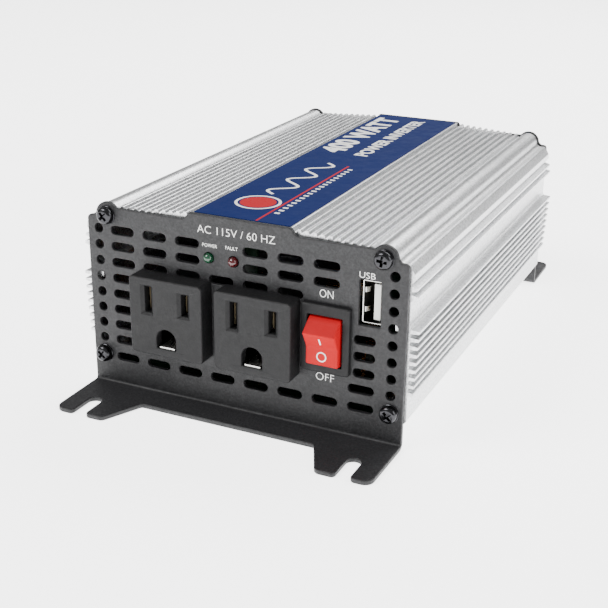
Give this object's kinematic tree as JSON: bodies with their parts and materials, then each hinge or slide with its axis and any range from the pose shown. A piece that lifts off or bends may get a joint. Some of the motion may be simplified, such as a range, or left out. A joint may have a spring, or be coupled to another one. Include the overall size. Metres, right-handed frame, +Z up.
{
  "type": "power inverter",
  "caption": "Small DC to AC power inverter: ribbed aluminium housing, bent steel end panels with slotted feet, grounded outlets, USB socket, rocker switch, fan and screw terminals.",
  "frame": {"origin": "centre of the footprint, on the plane the feet rest on", "axes": "+X to the right seen from the outlet end, +Y from the outlet end to the battery end, +Z up"},
  "size_m": [0.112, 0.2006, 0.0624],
  "materials": {
    "anodised_aluminium": "extruded, clear anodised, satin",
    "panel_paint": "fine-textured matt black powder coat",
    "zinc_steel": "zinc plated",
    "label_film": "satin printed film",
    "outlet_plastic": "moulded, satin",
    "contact_brass": "stamped and turned brass",
    "switch_plastic": "moulded, satin",
    "rocker_plastic": "moulded, semi-gloss",
    "copper": "enamelled or bare copper",
    "usb_steel": "nickel plated",
    "usb_insulator": "moulded",
    "circuit_board": "solder mask",
    "led_green": "tinted clear resin",
    "led_red": "tinted clear resin",
    "ferrite": "sintered",
    "capacitor_sleeve": "shrink sleeve",
    "moulding_black": "moulded",
    "silicone_pad": "filled silicone",
    "fuse_blue": "translucent moulded",
    "guard_wire": "bright plated wire",
    "terminal_insulator": "moulded",
    "knob_red": "moulded, fluted",
    "knob_black": "moulded, fluted",
    "wire_insulation": "PVC"
  },
  "bodies": {
    "inverter": {"housing_extrusion": "anodised_aluminium", "front_panel": "panel_paint", "rear_panel": "panel_paint", "front_panel_screws": "zinc_steel", "rear_panel_screws": "zinc_steel", "top_label": "label_film", "outlet_left_housing": "outlet_plastic", "outlet_left_back": "outlet_plastic", "outlet_left_neutral_contact": "contact_brass", "outlet_left_hot_contact": "contact_brass", "outlet_left_ground_contact": "contact_brass", "outlet_right_housing": "outlet_plastic", "outlet_right_back": "outlet_plastic", "outlet_right_neutral_contact": "contact_brass", "outlet_right_hot_contact": "contact_brass", "outlet_right_ground_contact": "contact_brass", "switch_housing": "switch_plastic", "switch_common_terminal": "contact_brass", "switch_load_terminal": "contact_brass", "usb_shell": "usb_steel", "usb_tongue": "usb_insulator", "usb_contacts": "contact_brass", "usb_board": "circuit_board", "power_led": "led_green", "fault_led": "led_red", "led_board": "circuit_board", "main_board": "circuit_board", "control_board": "circuit_board", "transformer_cores": "ferrite", "transformer_windings": "copper", "input_capacitors": "capacitor_sleeve", "output_capacitor": "capacitor_sleeve", "low_side_mosfets": "moulding_black", "high_side_mosfets": "moulding_black", "insulating_pads": "silicone_pad", "mosfet_clips": "zinc_steel", "choke_core": "ferrite", "choke_winding": "copper", "buzzer": "moulding_black", "blade_fuses": "fuse_blue", "fan_frame": "moulding_black", "fan_stator": "copper", "fan_guard": "guard_wire", "fan_screws": "zinc_steel", "fan_nuts": "zinc_steel", "terminal_studs": "contact_brass", "terminal_bushings": "terminal_insulator", "terminal_nuts": "zinc_steel", "ground_screw": "contact_brass", "battery_leads": "wire_insulation", "outlet_leads": "wire_insulation"},
    "rocker": {"switch_rocker": "rocker_plastic", "switch_plunger": "contact_brass", "switch_spring": "zinc_steel"},
    "contact_lever": {"switch_contact_lever": "copper"},
    "fan_blades": {"fan_rotor": "moulding_black"},
    "clamp_positive": {"clamp_washer_positive": "zinc_steel"},
    "clamp_negative": {"clamp_washer_negative": "zinc_steel"},
    "terminal_knob_positive": {"knob_positive": "knob_red"},
    "terminal_knob_negative": {"knob_negative": "knob_black"}
  },
  "joints": [
    {"name": "rocker_tilt", "type": "hinge", "parent": "inverter", "child": "rocker", "pos_m": [0.0285, -0.0754, 0.0307], "axis": [-1, 0, 0], "range_deg": [0, 30]},
    {"name": "contact_lever_tilt", "type": "hinge", "parent": "inverter", "child": "contact_lever", "pos_m": [0.0285, -0.06695, 0.0307], "axis": [1, 0, 0], "range_deg": [0, 16]},
    {"name": "fan_spin", "type": "hinge", "parent": "inverter", "child": "fan_blades", "pos_m": [-0.025, 0.0705, 0.0315], "axis": [0, 1, 0], "continuous": true},
    {"name": "knob_positive_turn", "type": "hinge", "parent": "clamp_positive", "child": "terminal_knob_positive", "pos_m": [0.014, 0.0876, 0.034], "axis": [0, 1, 0], "range_deg": [0, 1800]},
    {"name": "clamp_positive_slide", "type": "slide", "parent": "inverter", "child": "clamp_positive", "axis": [0, 1, 0], "range_m": [0, 0.005]},
    {"name": "knob_negative_turn", "type": "hinge", "parent": "clamp_negative", "child": "terminal_knob_negative", "pos_m": [0.038, 0.0876, 0.034], "axis": [0, 1, 0], "range_deg": [0, 1800]},
    {"name": "clamp_negative_slide", "type": "slide", "parent": "inverter", "child": "clamp_negative", "axis": [0, 1, 0], "range_m": [0, 0.005]}
  ],
  "couplings": [
    {"joint": "contact_lever_tilt", "follows": "rocker_tilt", "ratio": 0.53333},
    {"joint": "knob_positive_turn", "follows": "clamp_positive_slide", "rad_per_m": 6283.2},
    {"joint": "knob_negative_turn", "follows": "clamp_negative_slide", "rad_per_m": 6283.2}
  ]
}
